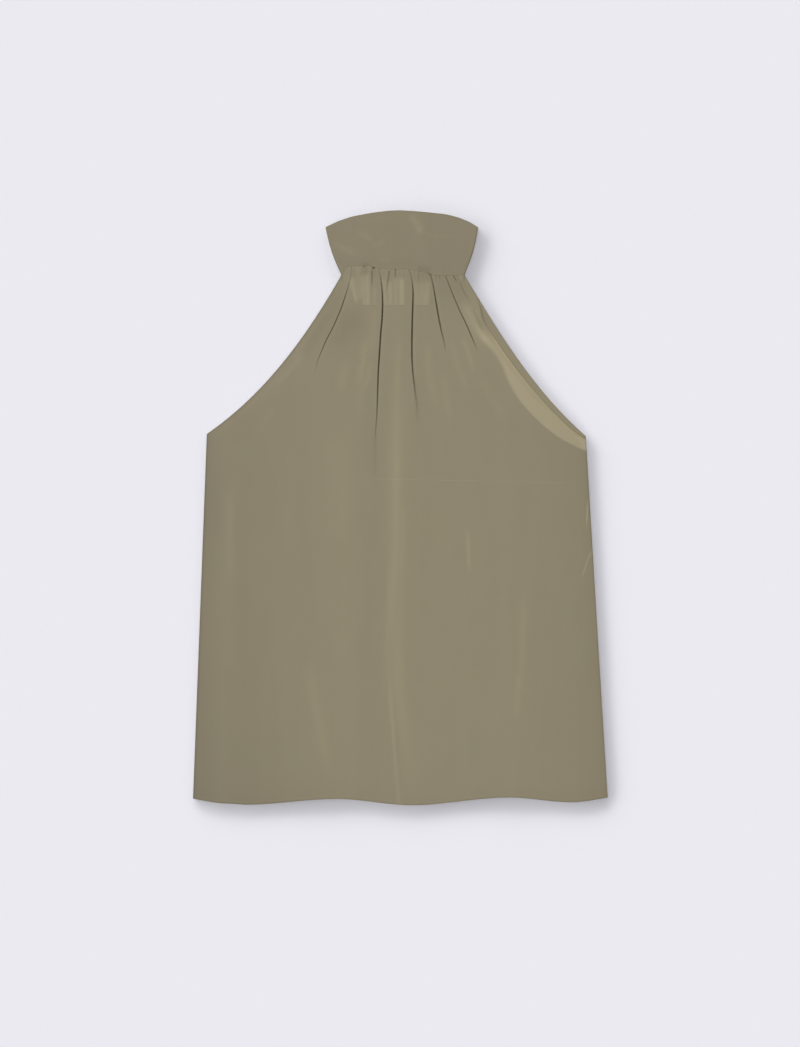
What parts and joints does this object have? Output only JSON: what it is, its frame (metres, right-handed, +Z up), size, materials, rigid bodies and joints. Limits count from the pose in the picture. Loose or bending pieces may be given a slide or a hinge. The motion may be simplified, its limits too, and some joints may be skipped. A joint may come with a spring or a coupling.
{
  "type": "sleeveless halter top",
  "caption": "Sleeveless halter top laid flat, with a flared body gathered into a tall collar band that laps and buttons at the centre back.",
  "frame": {"origin": "middle of the garment's outline, at the height of the surface that it lies on", "axes": "+Y along the garment's length towards the collar, +X to the right as seen from above, +Z up out of the front"},
  "size_m": [0.4968, 0.7146, 0.0073],
  "materials": {
    "cloth_front": "soft satin sheen",
    "cloth_back": "soft satin sheen",
    "cloth_collar": "soft satin sheen",
    "cloth_button": "soft satin sheen"
  },
  "bodies": {
    "root": {"front_panel": "cloth_front", "back_panel": "cloth_back", "collar": "cloth_collar", "button_upper": "cloth_button", "button_lower": "cloth_button"}
  },
  "joints": []
}
